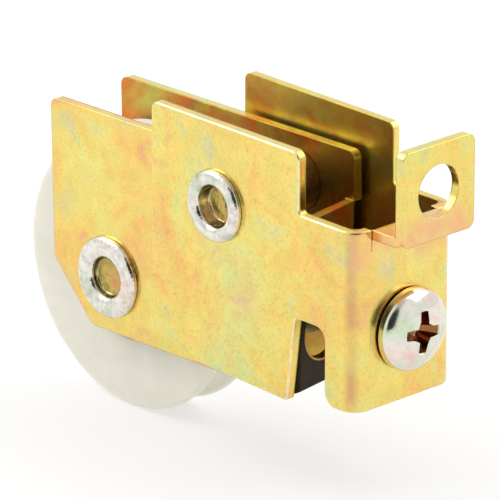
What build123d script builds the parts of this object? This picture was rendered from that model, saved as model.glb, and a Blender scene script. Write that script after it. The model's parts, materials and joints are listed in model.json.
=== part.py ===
"""Sliding door roller: a nylon ball-bearing wheel on a stamped carriage that swings in a stamped housing.

Millimetres, +Z up. The origin is the centre of the mounting hole, on the outer face of the mounting ear.
+X points out of the adjusting-screw end, -Y is the side with the clinched rivet rings.
"""

import os

from build123d import *

os.makedirs("parts", exist_ok=True)

# ---------------------------------------------------------------- driving dimensions
SHEET = 1.3  # thickness of both stampings
BEND = 2.6  # outer radius of the housing's upright bends
CARRIAGE_BEND = 2.0  # outer radius of the carriage's upright bends
EDGE = 0.32  # rolled-over edge of a blanked outline

# where things stand, from the mounting hole
EAR_REACH = 5.4  # ear's outer face beyond the end plate's outer face
END_TO_PIVOT = 25.6  # end plate's outer face to the pivot
PIVOT_DROP = 7.9  # pivot below the mounting hole
TAB_OFFSET = 0.4  # ear and screw sit this much behind the channels' middle plane

PIVOT_X = -EAR_REACH - END_TO_PIVOT
MID_Y = -TAB_OFFSET
PIVOT = Vector(PIVOT_X, MID_Y, -PIVOT_DROP)

# housing, measured from the pivot (x along +X, z up)
HOUSING_WIDTH = 18.0
HOUSING_LEFT = -12.45
HOUSING_TOP = 11.15
NOTCH_X = 15.3
CHAMFER_LEFT_Z = -14.4
CHAMFER_FOOT_X = -6.15
FOOT_Z = -22.65
FOOT_END_Z = -23.25
WINDOW_FOOT_X = 13.1
WINDOW_LEFT_X = 14.65
WINDOW_RIGHT_X = 20.05
WINDOW_TOP_Z = -11.45
LEG_Z = -21.7
EAR_SIZE = 12.7
EAR_HOLE_R = 3.6
EAR_CORNER = 1.2
NOTCH_Z = PIVOT_DROP - EAR_SIZE / 2 + SHEET  # the shelf's underside is level with the ear's lower edge
SHELF_BEND = 1.55
RELIEF = 0.12  # slit at each end of the shelf
FOOT_ROUND = 1.6  # corners of the slanting foot, both stampings
OUTER_ROUND = 1.2  # the other outside corners, both stampings
NOTCH_ROUND = 0.5
WINDOW_TOP_ROUND = 1.7
LEG_ROUND = 1.9
WINDOW_SHARP_ROUND = 0.4

# carriage, measured from the pivot in its own tilted frame
REST_TILT = 1.2  # degrees, wheel end low
CARRIAGE_WIDTH = 13.8
CARRIAGE_LEFT = -34.25
CARRIAGE_TOP = 6.2
CARRIAGE_FOOT = -24.0
CARRIAGE_BACK_END = 10.45
CARRIAGE_FRONT_END = 12.75
CARRIAGE_CHAMFER_Z = -16.1
CARRIAGE_CHAMFER_X = -27.0
WEB_TOP = -0.5
WEB_LEAN = 3.4  # degrees, top of the web nearer the end plate
WEB_BACK_END = 10.1
WEB_FRONT_END = 12.4
PLATE_CORNER = 1.1
SLOT_R = 4.15
SLOT_LOW = -16.3
SLOT_HIGH = -8.6

# pivot
RIVET_R = 3.17
RIVET_PLAY = 0.04
PIVOT_RING_R = 4.85
AXLE_RING_R = 5.6
RING_RISE = 1.15
RING_HOLE_R = 2.75
RING_FOOT = 0.3  # bevel where the ring meets the plate
RING_LIP = 0.05  # the ring's mouth starts this much above its foot
RECESS_WALL = 0.15
RECESS_ROUND = 0.3
RIVET_HEAD_RISE = 1.7
RIVET_HEAD_RIM = 0.25
RIVET_HEAD_FLAT = 1.2
RIVET_DOME_AT = 0.75  # share of the head's radius at which the dome
RIVET_DOME_RISE = 0.72  # still has this share of its height
PIVOT_RECESS = 2.4
AXLE_RECESS = 1.5
TURNED_CHAMFER = 0.2
SPACER_R = 4.1
RUNNING_FIT = 0.06

# wheel, in the carriage's frame
AXLE_X = -23.4
AXLE_Z = -16.3
WHEEL_R = 19.05
WHEEL_WIDTH = 7.8
LIP = 1.5
GROOVE_DEPTH = 2.1
LIP_GRIP = 0.6  # the tyre laps over the bearing's outer ring

# bearing
BALL_R = 1.5875
BALL_COUNT = 8
PITCH_R = 6.6
BALL_PLAY = 0.03
INNER_LAND_R = 5.6
OUTER_LAND_R = 7.6
OUTER_R = 10.0
RING_WIDTH = 5.4
SHIELD = 0.35
SHIELD_INSET = 0.15
SHIELD_OUTER_R = 8.4
SHIELD_GAP = 0.2
CAGE_WALL = 0.7
CAGE_WIDTH = 3.9
AXLE_SPACER_R = 5.3

# adjusting screw
SCREW_Z = -11.95
HEAD_R = 5.55
HEAD_HEIGHT = 3.0
HEAD_RIM = 0.8
HEAD_STANDOFF = 0.25
THREAD_R = 2.41
THREAD_PLAY = 0.05
THREAD_POINT = 0.6
RECESS_SPAN = 5.7
RECESS_ARM = 1.45
RECESS_DEPTH = 2.2
RECESS_TAPER = 14
RECESS_TURN = -4
SCREW_LENGTH = 20.5
SCREW_HOLE_R = 2.9
NUT_WIDTH = 9.7
NUT_HEIGHT = 13.4
NUT_THICK = 2.8
NUT_CROWN_R = 12.0
NUT_CHAMFER = 0.5
NUT_FACE_X = 8.35

# ---------------------------------------------------------------- shared places
LEVEL = Plane(origin=PIVOT, x_dir=(1, 0, 0), z_dir=(0, 0, 1))
SIDE = Plane(origin=PIVOT, x_dir=(1, 0, 0), z_dir=(0, -1, 0))
TILTED = Plane(origin=PIVOT, x_dir=Vector(1, 0, 0).rotate(Axis.Y, -REST_TILT), z_dir=(0, -1, 0))
TILTED_UP = Axis(PIVOT, TILTED.y_dir)
TILTED_LEVEL = Plane(origin=PIVOT, x_dir=TILTED.x_dir, z_dir=TILTED.y_dir)
LEANING_LEVEL = Plane(
    origin=PIVOT,
    x_dir=TILTED.x_dir.rotate(Axis.Y, WEB_LEAN),
    z_dir=TILTED.y_dir.rotate(Axis.Y, WEB_LEAN),
)
LEANING_UP = Axis(PIVOT, LEANING_LEVEL.z_dir)
AXLE = TILTED.from_local_coords((AXLE_X, AXLE_Z, 0))
AXLE_LINE = Plane(origin=AXLE, x_dir=(1, 0, 0), z_dir=(0, -1, 0))
SCREW_LINE = Plane(
    origin=(-EAR_REACH, 0, -PIVOT_DROP + SCREW_Z),
    x_dir=(0, 1, 0),
    z_dir=(1, 0, 0),
)
FAR = 100.0
TOUCHING = 0.01

HOUSING_HALF = HOUSING_WIDTH / 2
CARRIAGE_HALF = CARRIAGE_WIDTH / 2


def finish(builder, label):
    """Names the piece and writes it out."""
    builder.part.label = label
    export_step(builder.part, f"parts/{label}.step")


def radial(centre):
    """A plane for turned sections: x is the radius, y runs towards the front along the turning axis."""
    return Plane(origin=centre, x_dir=(1, 0, 0), z_dir=(0, 0, -1))


def rounded_outline(corners):
    """A closed outline; each corner is (x, z, its radius)."""
    with BuildLine() as line:
        FilletPolyline(*[(x, z) for x, z, _ in corners], radius=[r for _, _, r in corners], close=True)
    return make_face(line.edges())


# ---------------------------------------------------------------- housing
# each corner is (x, z, its radius)
ALL_ROUND = [
    (CHAMFER_FOOT_X, FOOT_Z, FOOT_ROUND),
    (HOUSING_LEFT, CHAMFER_LEFT_Z, OUTER_ROUND),
    (HOUSING_LEFT, HOUSING_TOP, OUTER_ROUND),
    (NOTCH_X, HOUSING_TOP, OUTER_ROUND),
    (NOTCH_X, NOTCH_Z, NOTCH_ROUND),
    (END_TO_PIVOT + FAR, NOTCH_Z, NOTCH_ROUND),
    (END_TO_PIVOT + FAR, LEG_Z, NOTCH_ROUND),
]
FRONT_WINDOW = [
    (WINDOW_RIGHT_X, LEG_Z, LEG_ROUND),
    (WINDOW_RIGHT_X, WINDOW_TOP_Z, WINDOW_TOP_ROUND),
    (WINDOW_LEFT_X, WINDOW_TOP_Z, WINDOW_SHARP_ROUND),
    (WINDOW_FOOT_X, FOOT_END_Z, NOTCH_ROUND),
]
BACK_FOOT = [
    (WINDOW_RIGHT_X, LEG_Z, LEG_ROUND),
    (WINDOW_FOOT_X, FOOT_END_Z, LEG_ROUND),
]
EAR_HALF = EAR_SIZE / 2
SHELF_RIGHT = EAR_HALF - EAR_CORNER
TAB_ROOT_Z = NOTCH_Z - SHEET - SHELF_BEND
TAB_MIDDLE_X = END_TO_PIVOT - SHEET / 2
EAR_MIDDLE_X = END_TO_PIVOT + EAR_REACH - SHEET / 2

with BuildPart() as housing_blank:
    # side views of the two plates: the window is in the front one alone
    for corners, reach in (ALL_ROUND + FRONT_WINDOW, FAR), (ALL_ROUND + BACK_FOOT, -FAR):
        with BuildSketch(SIDE):
            rounded_outline(corners)
        extrude(amount=reach)

with BuildPart() as housing:
    # channel seen from above: two side plates and the end plate
    with BuildSketch(LEVEL.offset(-2 * WHEEL_R)):
        with Locations(((END_TO_PIVOT + HOUSING_LEFT) / 2, 0)):
            Rectangle(END_TO_PIVOT - HOUSING_LEFT, HOUSING_WIDTH)
    extrude(amount=4 * WHEEL_R)
    fillet(housing.edges().filter_by(Axis.Z).group_by(Axis.X)[-1], BEND)
    offset(amount=-SHEET, openings=housing.faces().filter_by(Axis.Z) + housing.faces().sort_by(Axis.X)[:1])
    add(housing_blank.part, mode=Mode.INTERSECT)
    # the strip for the shelf is freed by a relief slit at each end, then bent out and up into the ear
    with BuildSketch(SIDE.offset(EAR_HALF - TAB_OFFSET + RELIEF)):
        with Locations((END_TO_PIVOT, TAB_ROOT_Z)):
            Rectangle(3 * SHEET, FAR, align=(Align.CENTER, Align.MIN))
    extrude(amount=-(EAR_HALF + SHELF_RIGHT + 2 * RELIEF), mode=Mode.SUBTRACT)
    with BuildSketch(SIDE.offset(EAR_HALF - TAB_OFFSET)):
        with BuildLine() as bent_strip:
            FilletPolyline(
                (TAB_MIDDLE_X, TAB_ROOT_Z),
                (TAB_MIDDLE_X, NOTCH_Z - SHEET / 2),
                (EAR_MIDDLE_X, NOTCH_Z - SHEET / 2),
                (EAR_MIDDLE_X, PIVOT_DROP),
                radius=SHELF_BEND - SHEET / 2,
            )
        trace(line_width=SHEET)
    extrude(amount=-(EAR_HALF + SHELF_RIGHT))
    with BuildSketch(Plane.YZ):
        RectangleRounded(EAR_SIZE, EAR_SIZE, EAR_CORNER)
    extrude(amount=-SHEET)
    # mounting hole, screw hole, pivot holes
    with Locations(Plane.YZ):
        Hole(EAR_HOLE_R, depth=SHEET)
    with Locations(SCREW_LINE):
        Hole(SCREW_HOLE_R, depth=2 * SHEET)
    with Locations(SIDE.offset(HOUSING_HALF)):
        Hole(RIVET_R + RIVET_PLAY)
    # the punch rolls the outer edges over
    sides = housing.faces().filter_by(Axis.Y).sort_by(Axis.Y)
    rolled = sides[0].edges() + sides[-1].edges()
    bend_start = PIVOT_X + END_TO_PIVOT - BEND
    fillet([edge for edge in rolled if abs(edge.center().X - bend_start) > TOUCHING], EDGE)
finish(housing, "housing")

# ---------------------------------------------------------------- carriage
CARRIAGE_OUTLINE = [
    (CARRIAGE_LEFT, CARRIAGE_TOP, OUTER_ROUND),
    (FAR, CARRIAGE_TOP, NOTCH_ROUND),
    (FAR, CARRIAGE_FOOT, NOTCH_ROUND),
    (CARRIAGE_CHAMFER_X, CARRIAGE_FOOT, FOOT_ROUND),
    (CARRIAGE_LEFT, CARRIAGE_CHAMFER_Z, OUTER_ROUND),
]
SLOT_MIDDLE_Z = (SLOT_LOW + SLOT_HIGH) / 2

with BuildPart() as carriage:
    # channel seen from above, its web a little askew and leaning
    with BuildSketch(LEANING_LEVEL.offset(-2 * WHEEL_R)):
        with BuildLine():
            Polyline(
                (CARRIAGE_LEFT - WHEEL_R, -CARRIAGE_HALF),
                (WEB_FRONT_END, -CARRIAGE_HALF),
                (WEB_BACK_END, CARRIAGE_HALF),
                (CARRIAGE_LEFT - WHEEL_R, CARRIAGE_HALF),
                close=True,
            )
        make_face()
    extrude(amount=4 * WHEEL_R)
    fillet(carriage.edges().filter_by(LEANING_UP).sort_by(Axis.X)[-2:], CARRIAGE_BEND)
    offset(
        amount=-SHEET,
        openings=carriage.faces().filter_by(LEANING_UP) + carriage.faces().sort_by(Axis.X)[:1],
    )
    # above the web the side plates run on, with rounded corners
    with BuildSketch(TILTED_LEVEL.offset(WEB_TOP)):
        Rectangle(FAR, CARRIAGE_WIDTH)
    extrude(amount=FAR, mode=Mode.SUBTRACT)
    with BuildSketch(TILTED_LEVEL.offset(WEB_TOP)):
        for end, side in ((CARRIAGE_FRONT_END, -1), (CARRIAGE_BACK_END, 1)):
            with Locations((CARRIAGE_LEFT, side * (CARRIAGE_HALF - SHEET / 2))):
                Rectangle(end - CARRIAGE_LEFT, SHEET, align=(Align.MIN, Align.CENTER))
    extrude(amount=FAR)
    # side view of the blank
    with BuildSketch(TILTED):
        rounded_outline(CARRIAGE_OUTLINE)
    extrude(amount=FAR, both=True, mode=Mode.INTERSECT)
    ends = carriage.edges().filter_by(Axis.Y).group_by(TILTED_UP)[-1]
    fillet(ends.sort_by(Axis.X)[-2:], PLATE_CORNER)
    # slot in the web for the screw, holes that turn on the pivot spacer, holes for the axle rivet
    with BuildSketch(Plane.YZ.offset(PIVOT_X)):
        with Locations((0, -PIVOT_DROP + SLOT_MIDDLE_Z)):
            SlotCenterToCenter(SLOT_HIGH - SLOT_LOW, 2 * SLOT_R, rotation=90)
    extrude(amount=FAR, mode=Mode.SUBTRACT)
    with Locations(SIDE.offset(CARRIAGE_HALF)):
        Hole(SPACER_R + RUNNING_FIT)
    with Locations(AXLE_LINE.offset(CARRIAGE_HALF)):
        Hole(RIVET_R + RIVET_PLAY)
finish(carriage, "carriage")


# ---------------------------------------------------------------- rivets and spacers
def rivet(centre, half_width, ring_r, recess, label):
    """Semi-tubular rivet: factory head at the back, shank, hollow end rolled into a ring in front."""
    back = -half_width
    front = half_width
    crown_r = (RING_HOLE_R + ring_r) / 2
    mouth = front + RING_FOOT + RING_LIP
    floor = front + RING_RISE - recess
    with BuildPart() as piece:
        with BuildSketch(radial(centre)):
            with BuildLine():
                dome = Line((0, back - RIVET_HEAD_RISE), (RIVET_HEAD_FLAT, back - RIVET_HEAD_RISE))
                ThreePointArc(
                    dome @ 1,
                    (RIVET_DOME_AT * ring_r, back - RIVET_DOME_RISE * RIVET_HEAD_RISE),
                    (ring_r, back - RIVET_HEAD_RIM),
                )
                Polyline(
                    (ring_r, back - RIVET_HEAD_RIM),
                    (ring_r - RIVET_HEAD_RIM, back),
                    (RIVET_R, back),
                    (RIVET_R, front),
                    (ring_r - RING_FOOT, front),
                    (ring_r, front + RING_FOOT),
                )
                ThreePointArc(
                    (ring_r, front + RING_FOOT),
                    (crown_r, front + RING_RISE),
                    (RING_HOLE_R, mouth),
                )
                Polyline(
                    (RING_HOLE_R, mouth),
                    (RING_HOLE_R - RECESS_WALL, floor + RECESS_ROUND),
                    (RING_HOLE_R - RECESS_WALL - RECESS_ROUND, floor),
                    (0, floor - RECESS_WALL),
                    (0, back - RIVET_HEAD_RISE),
                )
            make_face()
        revolve(axis=Axis(centre, (0, 1, 0)))
    finish(piece, label)


def tube(centre, outer_r, bore_r, start, length, label):
    """Plain turned ring on an axis along Y, from start towards the front."""
    with BuildPart() as piece:
        with BuildSketch(Plane(origin=centre, x_dir=(1, 0, 0), z_dir=(0, -1, 0)).offset(start)):
            Circle(outer_r)
            Circle(bore_r, mode=Mode.SUBTRACT)
        extrude(amount=length)
        chamfer(piece.edges().filter_by(GeomType.CIRCLE), TURNED_CHAMFER)
    finish(piece, label)


HOUSING_INSIDE = HOUSING_WIDTH - 2 * SHEET
CARRIAGE_INSIDE = CARRIAGE_WIDTH - 2 * SHEET
AXLE_SPACER = (CARRIAGE_INSIDE - RING_WIDTH) / 2

rivet(PIVOT, HOUSING_HALF, PIVOT_RING_R, PIVOT_RECESS, "pivot_rivet")
rivet(AXLE, CARRIAGE_HALF, AXLE_RING_R, AXLE_RECESS, "axle_rivet")
tube(PIVOT, SPACER_R, RIVET_R + RIVET_PLAY, -HOUSING_INSIDE / 2, HOUSING_INSIDE, "pivot_spacer")
tube(AXLE, AXLE_SPACER_R, RIVET_R + RIVET_PLAY, RING_WIDTH / 2, AXLE_SPACER, "axle_spacer_front")
tube(AXLE, AXLE_SPACER_R, RIVET_R + RIVET_PLAY, -CARRIAGE_INSIDE / 2, AXLE_SPACER, "axle_spacer_back")

# ---------------------------------------------------------------- bearing
AXLE_AXIS = Axis(AXLE, (0, 1, 0))
RACEWAY_R = BALL_R + BALL_PLAY
SHIELD_SEAT = SHIELD + SHIELD_INSET

with BuildPart() as bearing_inner_ring:
    with BuildSketch(radial(AXLE)):
        with Locations(((RIVET_R + RIVET_PLAY + INNER_LAND_R) / 2, 0)):
            Rectangle(INNER_LAND_R - RIVET_R - RIVET_PLAY, RING_WIDTH)
        with Locations((PITCH_R, 0)):
            Circle(RACEWAY_R, mode=Mode.SUBTRACT)
    revolve(axis=AXLE_AXIS)
finish(bearing_inner_ring, "bearing_inner_ring")

with BuildPart() as bearing_outer_ring:
    with BuildSketch(radial(AXLE)):
        with Locations(((OUTER_LAND_R + OUTER_R) / 2, 0)):
            Rectangle(OUTER_R - OUTER_LAND_R, RING_WIDTH)
        with Locations((PITCH_R, 0)):
            Circle(RACEWAY_R, mode=Mode.SUBTRACT)
        with Locations((0, RING_WIDTH / 2), (0, -RING_WIDTH / 2)):
            Rectangle(2 * SHIELD_OUTER_R, 2 * SHIELD_SEAT, mode=Mode.SUBTRACT)
    revolve(axis=AXLE_AXIS)
finish(bearing_outer_ring, "bearing_outer_ring")

for number in range(BALL_COUNT):
    with BuildPart(AXLE_LINE) as ball:
        with PolarLocations(PITCH_R, 1, start_angle=360 * number / BALL_COUNT):
            Sphere(BALL_R)
    finish(ball, f"ball_{number + 1}")

with BuildPart(AXLE_LINE) as bearing_cage:
    Cylinder(PITCH_R + CAGE_WALL / 2, CAGE_WIDTH)
    Cylinder(PITCH_R - CAGE_WALL / 2, CAGE_WIDTH, mode=Mode.SUBTRACT)
    with PolarLocations(PITCH_R, BALL_COUNT):
        Cylinder(BALL_R + 2 * BALL_PLAY, 3 * CAGE_WALL, rotation=(0, 90, 0), mode=Mode.SUBTRACT)
finish(bearing_cage, "bearing_cage")

SHIELD_REACH = RING_WIDTH / 2 - SHIELD_INSET
SHIELD_BORE = INNER_LAND_R + SHIELD_GAP
for label, start in ("bearing_shield_front", SHIELD_REACH - SHIELD), ("bearing_shield_back", -SHIELD_REACH):
    with BuildPart() as shield:
        with BuildSketch(AXLE_LINE.offset(start)):
            Circle(SHIELD_OUTER_R)
            Circle(SHIELD_BORE, mode=Mode.SUBTRACT)
        extrude(amount=SHIELD)
    finish(shield, label)

# ---------------------------------------------------------------- wheel
WHEEL_HALF = WHEEL_WIDTH / 2
GROOVE_HALF = WHEEL_HALF - LIP

with BuildPart() as wheel_tyre:
    with BuildSketch(radial(AXLE)):
        with BuildLine():
            Polyline(
                (WHEEL_R - LIP / 2, -WHEEL_HALF),
                (OUTER_R - LIP_GRIP, -WHEEL_HALF),
                (OUTER_R - LIP_GRIP, -RING_WIDTH / 2),
                (OUTER_R, -RING_WIDTH / 2),
                (OUTER_R, RING_WIDTH / 2),
                (OUTER_R - LIP_GRIP, RING_WIDTH / 2),
                (OUTER_R - LIP_GRIP, WHEEL_HALF),
                (WHEEL_R - LIP / 2, WHEEL_HALF),
            )
            for side in (1, -1):
                ThreePointArc(
                    (WHEEL_R - LIP / 2, side * WHEEL_HALF),
                    (WHEEL_R, side * (WHEEL_HALF - LIP / 2)),
                    (WHEEL_R - LIP / 2, side * GROOVE_HALF),
                )
            ThreePointArc(
                (WHEEL_R - LIP / 2, GROOVE_HALF),
                (WHEEL_R - GROOVE_DEPTH, 0),
                (WHEEL_R - LIP / 2, -GROOVE_HALF),
            )
        make_face()
    revolve(axis=AXLE_AXIS)
finish(wheel_tyre, "wheel_tyre")

# ---------------------------------------------------------------- adjusting screw and nut
SCREW_SECTION = Plane(origin=SCREW_LINE.origin, x_dir=(0, 0, 1), z_dir=(0, 1, 0))

with BuildPart() as adjusting_screw:
    with BuildSketch(SCREW_SECTION):
        with BuildLine():
            Polyline(
                (0, HEAD_STANDOFF + HEAD_HEIGHT),
                (0, HEAD_STANDOFF - SCREW_LENGTH),
                (THREAD_R - THREAD_POINT, HEAD_STANDOFF - SCREW_LENGTH),
                (THREAD_R, HEAD_STANDOFF - SCREW_LENGTH + THREAD_POINT),
                (THREAD_R, HEAD_STANDOFF),
                (HEAD_R - TURNED_CHAMFER, HEAD_STANDOFF),
                (HEAD_R, HEAD_STANDOFF + TURNED_CHAMFER),
                (HEAD_R, HEAD_STANDOFF + HEAD_RIM),
            )
            EllipticalCenterArc(
                (0, HEAD_STANDOFF + HEAD_RIM),
                x_radius=HEAD_R,
                y_radius=HEAD_HEIGHT - HEAD_RIM,
                start_angle=0,
                arc_size=90,
            )
        make_face()
    revolve(axis=Axis(SCREW_LINE.origin, (1, 0, 0)))
    # cross recess
    for turn in RECESS_TURN, RECESS_TURN + 90:
        with BuildSketch(SCREW_LINE.offset(HEAD_STANDOFF + HEAD_HEIGHT)):
            Rectangle(RECESS_SPAN, RECESS_ARM, rotation=turn)
        extrude(amount=-RECESS_DEPTH, taper=RECESS_TAPER, mode=Mode.SUBTRACT)
finish(adjusting_screw, "adjusting_screw")

NUT_BACK_X = NUT_FACE_X - NUT_THICK
NUT_SAG = NUT_CROWN_R - (NUT_CROWN_R**2 - (NUT_HEIGHT / 2) ** 2) ** 0.5
with BuildPart() as adjusting_nut:
    with BuildSketch(Plane.XZ.offset(-NUT_WIDTH / 2)):
        with BuildLine():
            top = SCREW_LINE.origin.Z + NUT_HEIGHT / 2
            foot = SCREW_LINE.origin.Z - NUT_HEIGHT / 2
            Polyline(
                (PIVOT_X + NUT_FACE_X - NUT_SAG, top),
                (PIVOT_X + NUT_BACK_X, top),
                (PIVOT_X + NUT_BACK_X, foot),
                (PIVOT_X + NUT_FACE_X - NUT_SAG, foot),
            )
            ThreePointArc(
                (PIVOT_X + NUT_FACE_X - NUT_SAG, foot),
                (PIVOT_X + NUT_FACE_X, SCREW_LINE.origin.Z),
                (PIVOT_X + NUT_FACE_X - NUT_SAG, top),
            )
        make_face()
    extrude(amount=NUT_WIDTH)
    chamfer(adjusting_nut.edges().filter_by(Axis.Z), NUT_CHAMFER)
    with Locations(SCREW_LINE):
        Hole(THREAD_R + THREAD_PLAY, depth=FAR)
finish(adjusting_nut, "adjusting_nut")
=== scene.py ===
import json
import math

import bmesh
import bpy
from mathutils import Matrix, Vector

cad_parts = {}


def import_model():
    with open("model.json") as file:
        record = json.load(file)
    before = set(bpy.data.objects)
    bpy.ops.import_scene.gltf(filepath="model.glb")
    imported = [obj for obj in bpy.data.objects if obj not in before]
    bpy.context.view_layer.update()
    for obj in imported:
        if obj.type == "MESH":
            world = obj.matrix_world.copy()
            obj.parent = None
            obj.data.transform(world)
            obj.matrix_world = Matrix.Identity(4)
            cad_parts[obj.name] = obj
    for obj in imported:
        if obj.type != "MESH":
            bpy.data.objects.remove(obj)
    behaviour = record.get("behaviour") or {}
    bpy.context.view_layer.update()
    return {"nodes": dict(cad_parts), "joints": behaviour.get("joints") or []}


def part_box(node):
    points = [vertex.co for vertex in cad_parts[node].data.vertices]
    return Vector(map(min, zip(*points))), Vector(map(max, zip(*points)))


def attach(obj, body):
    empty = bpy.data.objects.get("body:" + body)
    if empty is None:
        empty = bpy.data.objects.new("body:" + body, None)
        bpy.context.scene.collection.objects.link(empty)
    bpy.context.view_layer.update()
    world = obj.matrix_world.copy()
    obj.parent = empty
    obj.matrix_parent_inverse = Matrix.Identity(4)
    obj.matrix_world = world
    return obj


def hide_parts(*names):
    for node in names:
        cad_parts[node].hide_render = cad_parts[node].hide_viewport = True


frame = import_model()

MM = 0.001
X = Vector((1, 0, 0))
Y = Vector((0, 1, 0))
Z = Vector((0, 0, 1))

JOINTS = {joint["name"]: joint for joint in frame["joints"]}
PIVOT = Vector(JOINTS["carriage_tilt"]["pos_m"])
AXLE = Vector(JOINTS["wheel_spin"]["pos_m"])
SCREW = Vector(JOINTS["screw_turn"]["pos_m"])
NODES = frame["nodes"]


# ------------------------------------------------------------------ sizes, in millimetres
def half_size(node, axis):
    """Half of a CAD node's size along one axis."""
    low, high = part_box(node)
    return (high[axis] - low[axis]) / 2 / MM


SHEET = 1.3
RING_HOLE_R = 2.75  # mouth of each rivet's rolled ring
SLOT_R = 4.15  # round end of the slot in the carriage's web
SLOT_LOW = -16.3  # centre of that end, from the pivot

SCREW_LOW, SCREW_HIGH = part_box("adjusting_screw")
HEAD_R = half_size("adjusting_screw", 2)
HEAD_TOP = (SCREW_HIGH.x - SCREW.x) / MM
TIP = (SCREW_LOW.x - SCREW.x) / MM
STANDOFF = 0.25  # screw head off the end plate
RIM = 0.8  # straight edge of the screw head
DOME_RISE = HEAD_TOP - STANDOFF - RIM

# where the inside's painted shade and rougher finish begin, in metres: just within the sheet, so that inner
# faces take them
HOUSING_IN = (half_size("pivot_spacer", 1) + 0.15 * SHEET) * MM
CARRIAGE_IN = (half_size("carriage", 1) - 0.85 * SHEET) * MM
END_IN = SCREW.x - 0.85 * SHEET * MM


# ------------------------------------------------------------------ node materials
class Paint:
    """A material under construction: short calls that add and link shader nodes."""

    def __init__(self, name):
        self.material = bpy.data.materials.new(name)
        self.material.use_nodes = True
        self.tree = self.material.node_tree
        self.shader = self.tree.nodes["Principled BSDF"]
        self.place = self.tree.nodes.new("ShaderNodeTexCoord").outputs["Object"]

    def set(self, **values):
        """Sets plain values on the shader's own sockets."""
        for name, value in values.items():
            self.shader.inputs[name.replace("_", " ")].default_value = value

    def link(self, source, name):
        self.tree.links.new(source, self.shader.inputs[name])

    def noise(self, scale, detail=3.0, rough=0.5, distortion=0.0, shift=None):
        node = self.tree.nodes.new("ShaderNodeTexNoise")
        node.inputs["Scale"].default_value = scale
        node.inputs["Detail"].default_value = detail
        node.inputs["Roughness"].default_value = rough
        node.inputs["Distortion"].default_value = distortion
        where = self.place
        if shift:
            moved = self.tree.nodes.new("ShaderNodeVectorMath")
            moved.inputs[1].default_value = shift
            self.tree.links.new(where, moved.inputs[0])
            where = moved.outputs["Vector"]
        self.tree.links.new(where, node.inputs["Vector"])
        return node.outputs["Fac"]

    def ramp(self, source, stops):
        """A colour ramp; each stop is (position, colour or grey)."""
        node = self.tree.nodes.new("ShaderNodeValToRGB")
        ramp = node.color_ramp
        while len(ramp.elements) < len(stops):
            ramp.elements.new(0.5)
        for element, (position, colour) in zip(ramp.elements, stops):
            element.position = position
            if isinstance(colour, (int, float)):
                colour = (colour, colour, colour)
            element.color = (*colour, 1)
        self.tree.links.new(source, node.inputs["Fac"])
        return node.outputs["Color"]

    def mix(self, factor, a, b, blend="MIX"):
        """Mixes colours; each of a and b is a socket or a colour."""
        node = self.tree.nodes.new("ShaderNodeMix")
        node.data_type = "RGBA"
        node.blend_type = blend
        for value, socket in ((factor, node.inputs["Factor"]), (a, node.inputs["A"]), (b, node.inputs["B"])):
            if isinstance(value, bpy.types.NodeSocket):
                self.tree.links.new(value, socket)
            elif isinstance(value, (int, float)):
                socket.default_value = value
            else:
                socket.default_value = (*value, 1)
        return node.outputs["Result"]

    def math(self, operation, *values):
        """One step of arithmetic on numbers or sockets."""
        node = self.tree.nodes.new("ShaderNodeMath")
        node.operation = operation
        for value, socket in zip(values, node.inputs):
            if isinstance(value, (int, float)):
                socket.default_value = value
            else:
                self.tree.links.new(value, socket)
        return node.outputs["Value"]

    def coordinates(self):
        """The place's x, y and z, in metres."""
        node = self.tree.nodes.new("ShaderNodeSeparateXYZ")
        self.tree.links.new(self.place, node.inputs["Vector"])
        return node.outputs["X"], node.outputs["Y"], node.outputs["Z"]

    def span(self, value, low, high):
        """0 below low, 1 above high, and a smooth rise between; low may be the larger."""
        node = self.tree.nodes.new("ShaderNodeMapRange")
        node.interpolation_type = "SMOOTHSTEP"
        node.inputs["From Min"].default_value = low
        node.inputs["From Max"].default_value = high
        self.tree.links.new(value, node.inputs["Value"])
        return node.outputs["Result"]

    def channel(self, middle_y, inside, end_x):
        """1 inside a channel: nearer than inside to y = middle_y and short of x = end_x, else 0."""
        x, y, _ = self.coordinates()
        away = self.math("ABSOLUTE", self.math("SUBTRACT", y, middle_y))
        return self.math("MULTIPLY", self.math("LESS_THAN", away, inside), self.math("LESS_THAN", x, end_x))

    def distance(self, centre):
        """Distance from the line along Y through centre."""
        x, _, z = self.coordinates()
        across = self.math("SUBTRACT", x, centre.x)
        over = self.math("SUBTRACT", z, centre.z)
        total = self.math("ADD", self.math("MULTIPLY", across, across), self.math("MULTIPLY", over, over))
        return self.math("SQRT", total)

    def facing(self):
        """Sizes of the surface direction's x, y and z parts, 0 to 1."""
        node = self.tree.nodes.new("ShaderNodeSeparateXYZ")
        normal = self.tree.nodes.new("ShaderNodeNewGeometry").outputs["True Normal"]
        self.tree.links.new(normal, node.inputs["Vector"])
        return [self.math("ABSOLUTE", node.outputs[axis]) for axis in "XYZ"]

    def rolled(self, radius):
        """The surface direction with sharp edges rounded by radius, metres."""
        node = self.tree.nodes.new("ShaderNodeBevel")
        node.samples = 6
        node.inputs["Radius"].default_value = radius
        return node.outputs["Normal"]

    def bump(self, height, distance, strength=1.0, below=None):
        node = self.tree.nodes.new("ShaderNodeBump")
        node.inputs["Distance"].default_value = distance
        node.inputs["Strength"].default_value = strength
        self.tree.links.new(height, node.inputs["Height"])
        if below is not None:
            self.tree.links.new(below, node.inputs["Normal"])
        return node.outputs["Normal"]


def linear(red, green, blue):
    """An sRGB colour, 0 to 255, as linear light."""
    return tuple(
        ((c / 255 + 0.055) / 1.055) ** 2.4 if c > 10.3 else c / 255 / 12.92
        for c in (red, green, blue)
    )


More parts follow.
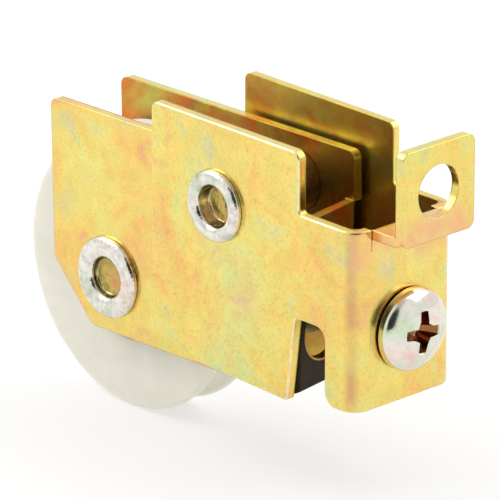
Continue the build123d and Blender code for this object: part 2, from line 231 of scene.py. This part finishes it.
GOLD = [
    (0.30, linear(218, 222, 150)),
    (0.42, linear(238, 222, 126)),
    (0.54, linear(242, 212, 114)),
    (0.66, linear(242, 194, 112)),
    (0.78, linear(236, 172, 128)),
]
OIL = [
    (0.30, linear(188, 214, 178)),
    (0.40, linear(226, 224, 138)),
    (0.52, linear(242, 214, 116)),
    (0.64, linear(242, 190, 118)),
    (0.74, linear(226, 156, 148)),
]


EDGE_ROLL = 0.28  # sheet edges, rounded in the shading
EDGE_FADE = (1.6, 2.1)  # the painted edge highlight stops this far short of the end plate's inner side


def zinc_yellow(name, shift, inside, middle_y, end_x, shade_tint):
    """Yellow-passivated zinc on rolled sheet: gold that drifts to pink, orange and green.

    Inside the channel it is darkened by painted shade, three colours for the brown seen between
    the plates; rolled edges are paler, a painted highlight.
    Returns the paint, with its colour socket, so that a piece can add its own marks.
    """
    paint = Paint(name)
    broad = paint.noise(62, 1.5, 0.5, 0.3, shift=shift)
    drift = paint.noise(120, 3.0, 0.6, 1.4, shift=tuple(3 * s + 1 for s in shift))
    blotch = paint.noise(420, 3.0, 0.6, 0.3, shift=shift)
    speck = paint.noise(2600, 2.0, 0.7)
    spots = paint.noise(520, 1.0, 0.4, 0.0, shift=tuple(7 * s for s in shift))
    colour = paint.mix(0.48, paint.ramp(broad, GOLD), paint.ramp(drift, OIL))
    patchy = paint.ramp(blotch, [(0.35, 0.86), (0.65, 1.0)])
    colour = paint.mix(0.6, colour, paint.mix(1.0, colour, patchy, "MULTIPLY"))
    colour = paint.mix(paint.ramp(spots, [(0.70, 0.0), (0.80, 0.3)]), colour, linear(206, 220, 186))
    grain = paint.ramp(speck, [(0.28, 0.62), (0.48, 1.0)])
    colour = paint.mix(0.45, colour, paint.mix(1.0, colour, grain, "MULTIPLY"))
    # painted highlight on rolled edges: faces that look partly sideways, but neither straight out nor square
    # to that
    side = paint.facing()[1]
    edge = paint.math("MULTIPLY", paint.span(side, 0.06, 0.2), paint.span(side, 0.998, 0.96))
    short_of_end = paint.span(paint.coordinates()[0], *(end_x - fade * MM for fade in EDGE_FADE))
    edge = paint.math("MULTIPLY", edge, short_of_end)
    edge_highlight = paint.ramp(blotch, [
        (0.36, linear(204, 222, 216)),
        (0.50, linear(250, 242, 206)),
        (0.64, linear(246, 206, 190)),
    ])
    colour = paint.mix(paint.math("MULTIPLY", edge, 0.5), colour, edge_highlight)
    # painted shade: the channel's inner faces are multiplied by browner tones
    depth = paint.channel(middle_y, inside, end_x)
    shade_tones = paint.ramp(paint.noise(150, 2.0, 0.5, 1.0, shift=tuple(5 * s for s in shift)), [
        (0.40, linear(*shade_tint[0])),
        (0.55, linear(*shade_tint[1])),
        (0.66, linear(*shade_tint[2])),
    ])
    colour = paint.mix(depth, colour, paint.mix(1.0, colour, shade_tones, "MULTIPLY"))
    rough = paint.ramp(blotch, [(0.3, 0.17), (0.7, 0.27)])
    paint.link(paint.mix(depth, rough, (0.36, 0.36, 0.36)), "Roughness")
    fine = paint.bump(paint.noise(1500, 3.0, 0.6), 0.03 * MM, 0.4, paint.rolled(EDGE_ROLL * MM))
    paint.link(paint.bump(paint.noise(110, 2.0, 0.5, shift=shift), 0.3 * MM, 0.3, fine), "Normal")
    paint.set(Metallic=1.0)
    return paint, colour


BEND_REACH = (2.9, 2.5)  # the bends' painted reflection begins this far short of the end plate's outer face
SHELF_Z = -6.6  # shelf's height, from the mounting hole
SHELF_CAST = (6.0, 1.5)  # the pink cast fades in between these heights off the shelf


def housing_finish():
    """The housing's zinc, with a painted pinkish-brown reflection round the upright bends, and pink at the
    shelf.
    """
    # painted shade inside the channel: the tones that zinc_yellow multiplies in
    shade_tint = ((236, 240, 208), (228, 220, 196), (222, 190, 164))
    paint, colour = zinc_yellow("housing_zinc", (0.31, 0.12, 0.27), HOUSING_IN, PIVOT.y, END_IN, shade_tint)
    along, _, level = paint.facing()
    upright = paint.span(level, 0.1, 0.02)
    outside = paint.span(paint.coordinates()[0], *(SCREW.x - reach * MM for reach in BEND_REACH))
    round_bend = paint.math("MULTIPLY", upright, outside)
    # painted reflection on the upright bends: pinkish brown where the surface turns between front and end
    bend_reflection = paint.math("MULTIPLY", paint.span(along, 0.12, 0.55), paint.span(along, 0.95, 0.60))
    streaks = paint.ramp(paint.noise(260, 3.0, 0.6), [(0.35, 0.25), (0.65, 0.75)])
    bend_reflection = paint.math("MULTIPLY", paint.math("MULTIPLY", bend_reflection, round_bend), streaks)
    colour = paint.mix(bend_reflection, colour, linear(200, 152, 110))
    # the pink cast round the shelf, strongest level with it
    x, _, z = paint.coordinates()
    height = paint.math("ABSOLUTE", paint.math("SUBTRACT", z, SHELF_Z * MM))
    at_end = paint.span(x, END_IN - 0.2 * MM, END_IN)
    near_shelf = paint.math("MULTIPLY", at_end, paint.span(height, *(off * MM for off in SHELF_CAST)))
    cast = paint.ramp(paint.noise(190, 2.0, 0.5, 0.8), [(0.36, 0.25), (0.60, 0.75)])
    colour = paint.mix(paint.math("MULTIPLY", near_shelf, cast), colour, linear(238, 172, 132))
    paint.link(colour, "Base Color")
    return paint.material


WEB_SHADE_X = (6.5, 8.5)  # the web's painted shade begins between these, from the pivot
WEB_SHADE_Z = (-3.0, -8.0)
SLOT_RIM = (0.15, 0.35)  # width beside the slot's edge left out of the painted shade


def carriage_finish():
    """The carriage's zinc; low on the web it is painted nearly black, but not on the slot's rim.

    The black is painted shade.
    """
    # painted shade inside the channel: the tones that zinc_yellow multiplies in
    shade_tint = ((220, 204, 156), (218, 172, 138), (236, 150, 126))
    paint, colour = zinc_yellow("carriage_zinc", (0.77, 0.45, 0.08), CARRIAGE_IN, PIVOT.y, END_IN, shade_tint)
    x, y, z = paint.coordinates()
    along_web = paint.span(x, *(PIVOT.x + off * MM for off in WEB_SHADE_X))
    low = paint.math("MULTIPLY", along_web, paint.span(z, *(PIVOT.z + off * MM for off in WEB_SHADE_Z)))
    over = paint.math("SUBTRACT", z, PIVOT.z + SLOT_LOW * MM)
    square = paint.math("ADD", paint.math("MULTIPLY", y, y), paint.math("MULTIPLY", over, over))
    off_edge = paint.math("ABSOLUTE", paint.math("SUBTRACT", paint.math("SQRT", square), SLOT_R * MM))
    off_rim = paint.span(off_edge, *(width * MM for width in SLOT_RIM))
    # painted shade: nearly black low on the web, except on the slot's rim
    shade_share = paint.math("MULTIPLY", paint.math("MULTIPLY", low, off_rim), 0.97)
    colour = paint.mix(shade_share, colour, linear(8, 7, 4))
    paint.link(colour, "Base Color")
    return paint.material


def nut_finish():
    """Grey-green zinc, for the colour seen through the slot."""
    paint = Paint("nut_zinc")
    cast = paint.noise(240, 3.0, 0.6, 0.4)
    colour = paint.ramp(cast, [
        (0.34, linear(120, 134, 96)),
        (0.50, linear(142, 150, 118)),
        (0.66, linear(168, 190, 186)),
    ])
    paint.link(colour, "Base Color")
    paint.link(paint.ramp(cast, [(0.3, 0.30), (0.7, 0.40)]), "Roughness")
    paint.link(paint.bump(cast, 0.04 * MM, 0.5, paint.rolled(0.3 * MM)), "Normal")
    paint.set(Metallic=1.0)
    return paint.material


def rivet_zinc(name, centre, hole_r):
    """Bright clear zinc; inside the rolled ring it is painted brown-gold, as painted shade."""
    paint = Paint(name)
    cast = paint.noise(300, 2.0, 0.5, 0.6)
    marks = paint.noise(1100, 4.0, 0.65)
    clear = paint.ramp(cast, [
        (0.32, linear(206, 212, 192)),
        (0.50, linear(232, 230, 220)),
        (0.68, linear(232, 216, 206)),
    ])
    # painted shade inside the rolled ring
    shade_tint = paint.ramp(cast, [
        (0.34, linear(150, 138, 70)),
        (0.50, linear(196, 170, 96)),
        (0.66, linear(204, 150, 92)),
    ])
    radius = paint.distance(centre)
    in_recess = paint.span(radius, (hole_r + 0.1) * MM, (hole_r - 0.35) * MM)
    in_front = paint.math("LESS_THAN", paint.coordinates()[1], centre.y)
    colour = paint.mix(paint.math("MULTIPLY", in_recess, in_front), clear, shade_tint)
    dull = paint.ramp(marks, [(0.30, 0.60), (0.55, 1.0)])
    paint.link(paint.mix(0.75, colour, paint.mix(1.0, colour, dull, "MULTIPLY")), "Base Color")
    paint.link(paint.ramp(marks, [(0.3, 0.10), (0.7, 0.22)]), "Roughness")
    pitted = paint.bump(paint.noise(800, 3.0, 0.6), 0.1 * MM, 0.7)
    paint.link(paint.bump(paint.noise(1600, 3.0, 0.6), 0.03 * MM, 0.5, pitted), "Normal")
    paint.set(Metallic=1.0)
    return paint.material


def zinc_clear(name, tone):
    """Bright clear zinc plating with a faint green and pink cast and fine handling marks."""
    paint = Paint(name)
    cast = paint.noise(260, 2.0, 0.5, 0.6)
    marks = paint.noise(900, 4.0, 0.65)
    colour = paint.ramp(cast, [
        (0.32, linear(204, 220, 190)),
        (0.50, linear(*tone)),
        (0.68, linear(238, 204, 190)),
    ])
    dull = paint.ramp(marks, [(0.30, 0.80), (0.55, 1.0)])
    colour = paint.mix(0.6, colour, paint.mix(1.0, colour, dull, "MULTIPLY"))
    # the cross recess, below the dome's surface, is painted brown as painted shade
    x, y, z = paint.coordinates()
    across = paint.math("SUBTRACT", y, SCREW.y)
    over = paint.math("SUBTRACT", z, SCREW.z)
    share = paint.math("ADD", paint.math("MULTIPLY", across, across), paint.math("MULTIPLY", over, over))
    share = paint.math("MINIMUM", paint.math("DIVIDE", share, (HEAD_R * MM) ** 2), 1.0)
    dome = paint.math("MULTIPLY", paint.math("SQRT", paint.math("SUBTRACT", 1.0, share)), DOME_RISE * MM)
    dome_foot = SCREW.x + (STANDOFF + RIM) * MM
    below = paint.math("SUBTRACT", paint.math("ADD", dome, dome_foot), x)
    on_head = paint.span(x, dome_foot, dome_foot + 0.1 * MM)
    recess = paint.math("MULTIPLY", paint.span(below, 0.08 * MM, 0.25 * MM), on_head)
    shade_tint = paint.ramp(cast, [(0.35, linear(126, 82, 44)), (0.65, linear(176, 118, 66))])
    paint.link(paint.mix(recess, colour, shade_tint), "Base Color")
    paint.link(paint.ramp(marks, [(0.3, 0.10), (0.7, 0.20)]), "Roughness")
    paint.link(paint.bump(paint.noise(1200, 3.0, 0.6), 0.04 * MM, 0.5), "Normal")
    paint.set(Metallic=1.0)
    return paint.material


def bare_steel(name, tone, rough):
    """Turned or pressed steel, lightly oiled."""
    paint = Paint(name)
    marks = paint.noise(1100, 4.0, 0.6)
    colour = paint.ramp(marks, [(0.3, tuple(0.7 * c for c in linear(*tone))), (0.65, linear(*tone))])
    paint.link(colour, "Base Color")
    paint.link(paint.ramp(marks, [(0.3, rough), (0.7, rough + 0.14)]), "Roughness")
    paint.link(paint.bump(marks, 0.03 * MM, 0.5), "Normal")
    paint.set(Metallic=1.0)
    return paint.material


def nylon(name):
    """Natural nylon: warm white, slightly translucent, satin with faint flow marks."""
    paint = Paint(name)
    flow = paint.noise(180, 3.0, 0.5, 1.2)
    grain = paint.noise(1400, 3.0, 0.6)
    colour = paint.ramp(flow, [(0.3, linear(226, 223, 209)), (0.7, linear(233, 230, 217))])
    paint.link(colour, "Base Color")
    paint.link(paint.ramp(grain, [(0.3, 0.34), (0.7, 0.46)]), "Roughness")
    paint.link(paint.bump(grain, 0.02 * MM, 0.25, paint.bump(flow, 0.04 * MM, 0.06)), "Normal")
    paint.set(Metallic=0.0)
    paint.shader.inputs["Subsurface Weight"].default_value = 0.35
    paint.shader.inputs["Subsurface Radius"].default_value = (1.0, 0.9, 0.7)
    paint.shader.inputs["Subsurface Scale"].default_value = 2.5 * MM
    return paint.material


# ------------------------------------------------------------------ mesh helpers
def new_piece(name, builder, material, angle=32):
    """Turns a finished bmesh into an object, smooth except across sharp edges."""
    bmesh.ops.recalc_face_normals(builder, faces=builder.faces)
    mesh = bpy.data.meshes.new(name)
    builder.to_mesh(mesh)
    builder.free()
    mesh.polygons.foreach_set("use_smooth", [True] * len(mesh.polygons))
    mesh.set_sharp_from_angle(angle=math.radians(angle))
    piece = bpy.data.objects.new(name, mesh)
    bpy.context.scene.collection.objects.link(piece)
    mesh.materials.append(material)
    return piece


def arc(centre, radii, start, end, steps):
    """Points on an elliptic arc in (radius, along) coordinates; angles in degrees, 0 along +radius."""
    for i in range(steps + 1):
        angle = math.radians(start + (end - start) * i / steps)
        yield (centre[0] + radii[0] * math.cos(angle), centre[1] + radii[1] * math.sin(angle))


def basis(axis):
    """Two directions square to axis."""
    first = Z.cross(axis).normalized() if abs(axis.dot(Z)) < 0.9 else X.copy()
    return first, axis.cross(first).normalized()


def lathe(name, profile, centre, axis, material, segments=160, closed=True):
    """Turns a profile of (radius, along) points, in millimetres, about axis through centre."""
    builder = bmesh.new()
    first, second = basis(axis)
    rings = []
    for radius, along in profile:
        middle = centre + axis * along * MM
        if radius < 1e-6:
            rings.append([builder.verts.new(middle)])
            continue
        rings.append([
            builder.verts.new(
                middle
                + (first * math.cos(math.tau * i / segments) + second * math.sin(math.tau * i / segments))
                * radius * MM
            )
            for i in range(segments)
        ])
    pairs = list(zip(rings, rings[1:]))
    if closed:
        pairs.append((rings[-1], rings[0]))
    for low, high in pairs:
        if len(low) == 1 and len(high) == 1:
            continue
        for i in range(segments):
            j = (i + 1) % segments
            corners = [low[i % len(low)], low[j % len(low)], high[j % len(high)], high[i % len(high)]]
            corners = [c for n, c in enumerate(corners) if c not in corners[:n]]
            builder.faces.new(corners)
    return new_piece(name, builder, material)


def threaded_shank(builder, tip, start, radius, pitch, depth, axis, origin, segments=72, rows=14):
    """A screw thread as a waved cylinder from tip to start along axis, in millimetres, added to builder."""
    first, second = basis(axis)
    count = int((start - tip) / pitch * rows)
    grid = []
    for row in range(count + 1):
        along = tip + (start - tip) * row / count
        fade = min(1.0, (along - tip) / pitch, (start - along) / pitch + 0.05)
        ring = []
        for i in range(segments):
            phase = (along / pitch - i / segments) % 1.0
            crest = max(0.0, min(1.0, 1.25 - abs(2 * phase - 1) * 1.6))
            r = radius - depth * (1 - crest * max(0.0, fade))
            turn = math.tau * i / segments
            ring.append(builder.verts.new(
                origin + (axis * along + (first * math.cos(turn) + second * math.sin(turn)) * r) * MM
            ))
        grid.append(ring)
    for low, high in zip(grid, grid[1:]):
        for i in range(segments):
            j = (i + 1) % segments
            builder.faces.new([low[i], low[j], high[j], high[i]])
    builder.faces.new(grid[0])
    builder.faces.new(grid[-1])


def cut(piece, cutter):
    """Takes the cutter away from the piece and drops the cutter."""
    modifier = piece.modifiers.new("cut", "BOOLEAN")
    modifier.operation = "DIFFERENCE"
    modifier.solver = "EXACT"
    modifier.object = cutter
    bpy.context.view_layer.update()
    evaluated = piece.evaluated_get(bpy.context.evaluated_depsgraph_get())
    mesh = bpy.data.meshes.new_from_object(evaluated)
    piece.modifiers.clear()
    piece.data = mesh
    bpy.data.objects.remove(cutter)
    mesh.polygons.foreach_set("use_smooth", [True] * len(mesh.polygons))
    mesh.set_sharp_from_angle(angle=math.radians(28))


def place(piece, body, slot, *nodes):
    """The piece rides on its body and stands for its CAD nodes, which it hides; the slot is not used."""
    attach(piece, body)
    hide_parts(*nodes)


# ------------------------------------------------------------------ finishes
HOUSING_ZINC = housing_finish()
CARRIAGE_ZINC = carriage_finish()
NUT_ZINC = nut_finish()
PIVOT_ZINC = rivet_zinc("pivot_zinc", PIVOT, RING_HOLE_R)
AXLE_ZINC = rivet_zinc("axle_zinc", AXLE, RING_HOLE_R)
SCREW_ZINC = zinc_clear("screw_zinc", (230, 224, 214))
RACE_STEEL = bare_steel("race_steel", (188, 172, 140), 0.22)
BALL_STEEL = bare_steel("ball_steel", (205, 205, 205), 0.08)
SPACER_STEEL = bare_steel("spacer_steel", (150, 118, 84), 0.32)
WHEEL_NYLON = nylon("wheel_nylon")

FINISHES = {
    "housing": HOUSING_ZINC,
    "carriage": CARRIAGE_ZINC,
    "adjusting_nut": NUT_ZINC,
    "pivot_spacer": SPACER_STEEL,
    "axle_spacer_front": RACE_STEEL,
    "axle_spacer_back": RACE_STEEL,
    "bearing_inner_ring": RACE_STEEL,
    "bearing_outer_ring": RACE_STEEL,
    "bearing_cage": SPACER_STEEL,
    "bearing_shield_front": RACE_STEEL,
    "bearing_shield_back": RACE_STEEL,
}
for node, thing in NODES.items():
    finish = FINISHES.get(node, BALL_STEEL)
    thing.data.materials.clear()
    thing.data.materials.append(finish)

# ------------------------------------------------------------------ wheel
INSET = 0.005  # keeps the finer tyre inside the CAD's box
WHEEL_R = half_size("wheel_tyre", 0) - INSET
WHEEL_HALF = half_size("wheel_tyre", 1)
RING_HALF = half_size("bearing_outer_ring", 1)
RING_R = half_size("bearing_outer_ring", 0)
LIP = 1.5
GROOVE_DEPTH = 2.1
GRIP_R = RING_R - 0.6


def wheel_profile():
    """The tyre's front half section, from the groove's floor round the lip to the bearing seat."""
    rim = WHEEL_R - LIP / 2
    reach = WHEEL_HALF - LIP
    groove_r = (reach**2 + (GROOVE_DEPTH - LIP / 2) ** 2) / 2 / (GROOVE_DEPTH - LIP / 2)
    sweep = math.degrees(math.asin(reach / groove_r))
    centre = (WHEEL_R - GROOVE_DEPTH + groove_r, 0)
    yield from arc(centre, (groove_r, groove_r), 180, 180 - sweep, 14)
    yield from arc((rim, reach + LIP / 2), (LIP / 2, LIP / 2), -90, 90, 18)
    yield from ((GRIP_R + 0.45, WHEEL_HALF), (GRIP_R + 0.15, WHEEL_HALF - 0.08))
    yield from ((GRIP_R, WHEEL_HALF - 0.35), (GRIP_R, RING_HALF), (RING_R, RING_HALF))


front_half = list(wheel_profile())
back_half = [(r, -y) for r, y in reversed(front_half)]
tyre = lathe("tyre", back_half + front_half[1:], AXLE, -Y, WHEEL_NYLON, 256)
place(tyre, "wheel", "nylon", "wheel_tyre")

# ------------------------------------------------------------------ rivets
RIVET_R = 3.17
RING_RISE = 1.15
HEAD_FLAT = 1.2  # flat middle of the factory head


def rivet(name, centre, recess, body, node, material):
    """Semi-tubular rivet: a factory head at the back and its hollow end rolled over into a ring in front."""
    low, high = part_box(node)
    ring_r = half_size(node, 0)
    front = (centre.y - low.y) / MM - RING_RISE
    back = (high.y - centre.y) / MM
    head_rise = back - front
    crown_r = (RING_HOLE_R + ring_r) / 2
    bottom = front + RING_RISE - recess
    roll = (ring_r - RING_HOLE_R) / 2
    profile = [(0, -back)]
    profile += arc((HEAD_FLAT, -back + head_rise), (ring_r - HEAD_FLAT, head_rise), -90, -8, 20)
    profile += [(ring_r, -front - 0.12), (ring_r - 0.2, -front), (RIVET_R, -front), (RIVET_R, front)]
    profile += [(ring_r - 0.35, front), (ring_r - 0.12, front + 0.06)]
    profile += arc((crown_r, front + 0.35), (roll, RING_RISE - 0.35), 0, 180, 36)
    profile += [(RING_HOLE_R + 0.02, front - 0.3), (RING_HOLE_R - 0.1, bottom + 0.5)]
    profile += arc((RING_HOLE_R - 0.5, bottom + 0.4), (0.4, 0.4), 0, -80, 8)
    profile += [(1.0, bottom - 0.06), (0.5, bottom - 0.14), (0, bottom - 0.16)]
    piece = lathe(name, profile, centre, -Y, material, 200, closed=False)
    place(piece, body, "zinc_clear", node)


rivet("pivot_clinch", PIVOT, 2.4, "housing", "pivot_rivet", PIVOT_ZINC)
rivet("axle_clinch", AXLE, 1.5, "carriage", "axle_rivet", AXLE_ZINC)

# ------------------------------------------------------------------ adjusting screw
THREAD_R = 2.41
THREAD_DEPTH = 0.45
PITCH = 25.4 / 24
SPAN = 5.7  # cross recess, tip to tip
ARM = 1.45  # width of its arms
RECESS_TURN = -4  # degrees


def screw():
    """Cross-recessed pan head on a threaded shank."""
    profile = [(0, STANDOFF), (HEAD_R - 0.22, STANDOFF)]
    profile += arc((HEAD_R - 0.2, STANDOFF + 0.2), (0.2, 0.2), -70, 0, 5)
    profile += arc((0, STANDOFF + RIM), (HEAD_R, DOME_RISE), 0, 90, 40)
    head = lathe("screw_head", profile, SCREW, X, SCREW_ZINC, 192, closed=False)
    recess = bmesh.new()
    top = HEAD_TOP + 0.4
    # the recess narrows downwards; each level is (along, arm's reach, arm's half width)
    levels = (
        (top, SPAN / 2 + 0.14, ARM / 2 + 0.09),
        (HEAD_TOP - 0.35, SPAN / 2, ARM / 2),
        (HEAD_TOP - 1.5, SPAN / 2 - 1.05, ARM / 2 - 0.2),
        (HEAD_TOP - 2.2, 0.85, 0.34),
    )
    rings = []
    for along, reach, half in levels:
        corner = min(half * 1.55, reach)
        ring = []
        for quarter in range(4):
            turn = math.radians(90 * quarter + RECESS_TURN)
            out = Y * math.cos(turn) + Z * math.sin(turn)
            side = Z * math.cos(turn) - Y * math.sin(turn)
            outline = (
                (corner, -corner * 0.62),
                (corner * 1.35, -half),
                (reach, -half * 0.86),
                (reach + 0.12 * half, 0),
                (reach, half * 0.86),
                (corner * 1.35, half),
            )
            for o, s in outline:
                o = min(o, reach + 0.12 * half)
                ring.append(recess.verts.new(SCREW + (X * along + out * o + side * s) * MM))
        rings.append(ring)
    for low, high in zip(rings, rings[1:]):
        for i in range(len(low)):
            j = (i + 1) % len(low)
            recess.faces.new([low[i], low[j], high[j], high[i]])
    recess.faces.new(rings[0])
    recess.faces.new(rings[-1])
    cutter = new_piece("recess", recess, SCREW_ZINC)
    cut(head, cutter)
    shank = bmesh.new()
    threaded_shank(shank, TIP, STANDOFF + 0.1, THREAD_R, PITCH, THREAD_DEPTH, X, SCREW)
    thread = new_piece("screw_thread", shank, SCREW_ZINC, 60)
    for piece in head, thread:
        place(piece, "screw", "zinc_clear", "adjusting_screw")


screw()

# ------------------------------------------------------------------ camera, floor and light
AZIMUTH = math.radians(46.856)
ELEVATION = math.radians(20.727)
DISTANCE = 0.85316
AIM_RIGHT = -2.252  # where the camera looks, from the pivot, across its own picture
AIM_UP = -7.898
back = Vector((
    math.sin(AZIMUTH) * math.cos(ELEVATION),
    -math.cos(AZIMUTH) * math.cos(ELEVATION),
    math.sin(ELEVATION),
))
right = Vector((math.cos(AZIMUTH), math.sin(AZIMUTH), 0))
up = back.cross(right)
aim = PIVOT + right * AIM_RIGHT * MM + up * AIM_UP * MM
camera_data = bpy.data.cameras.new("camera")
camera_data.lens = 475.06
camera_data.sensor_width = 36
camera_data.clip_start = 0.05
camera_data.clip_end = 20
camera = bpy.data.objects.new("camera", camera_data)
bpy.context.scene.collection.objects.link(camera)
camera_turn = back.to_track_quat("Z", "Y").to_matrix().to_4x4()
camera.matrix_world = Matrix.Translation(aim + back * DISTANCE) @ camera_turn
bpy.context.scene.camera = camera

FLOOR_GAP = 0.05
FLOOR_Z = AXLE.z - (WHEEL_R + FLOOR_GAP) * MM
OPENING = (0.80, 0.93, 1.0, 0.04)  # round the lens: cosines where it begins and ends, greys there
DIM_WAY = (0.45, -0.15, 0.88)
DIM_PATCH = (0.86, 0.97, 1.0, 0.62)


def floor():
    """A wide pale floor; its faint glow weakens the object's shadow."""
    builder = bmesh.new()
    bmesh.ops.create_grid(builder, x_segments=8, y_segments=8, size=6)
    for vert in builder.verts:
        vert.co.z = FLOOR_Z
    paint = Paint("floor_paint")
    paint.link(paint.ramp(paint.noise(6, 2.0), [(0.3, 0.49), (0.7, 0.51)]), "Base Color")
    paint.set(Roughness=0.9, Emission_Color=(1, 1, 1, 1), Emission_Strength=0.48)
    piece = new_piece("floor", builder, paint.material)


def world():
    """White tent, a little dimmer overhead, with the dark opening that the lens looks through."""
    made = bpy.data.worlds.new("tent")
    made.use_nodes = True
    tree = made.node_tree
    sky = tree.nodes["Background"]
    direction = tree.nodes.new("ShaderNodeTexCoord").outputs["Generated"]

    def toward(way, low, high, start, end):
        """A grey that goes from start to end as the direction comes nearer to way."""
        dot = tree.nodes.new("ShaderNodeVectorMath")
        dot.operation = "DOT_PRODUCT"
        dot.inputs[1].default_value = way
        tree.links.new(direction, dot.inputs[0])
        fade = tree.nodes.new("ShaderNodeMapRange")
        fade.interpolation_type = "SMOOTHSTEP"
        for socket, value in (("From Min", low), ("From Max", high), ("To Min", start), ("To Max", end)):
            fade.inputs[socket].default_value = value
        tree.links.new(dot.outputs["Value"], fade.inputs["Value"])
        return fade.outputs["Result"]

    product = tree.nodes.new("ShaderNodeMath")
    product.operation = "MULTIPLY"
    tree.links.new(toward(back, *OPENING), product.inputs[0])
    tree.links.new(toward(DIM_WAY, *DIM_PATCH), product.inputs[1])
    tree.links.new(product.outputs["Value"], sky.inputs["Color"])
    sky.inputs["Strength"].default_value = 1.0
    bpy.context.scene.world = made


def lamp(name, direction, distance, size, power):
    """A soft square lamp that looks at the object."""
    data = bpy.data.lights.new(name, "AREA")
    data.shape = "SQUARE"
    data.size = size
    data.energy = power
    thing = bpy.data.objects.new(name, data)
    bpy.context.scene.collection.objects.link(thing)
    way = Vector(direction).normalized()
    turn = way.to_track_quat("Z", "Y").to_matrix().to_4x4()
    thing.matrix_world = Matrix.Translation(PIVOT + way * distance) @ turn


floor()
world()
lamp("key", (-0.62, -0.42, 0.72), 0.7, 0.5, 1.6)
lamp("top", (0.38, 0.60, 0.70), 0.8, 0.7, 1.8)
bpy.context.scene.view_settings.view_transform = "Standard"
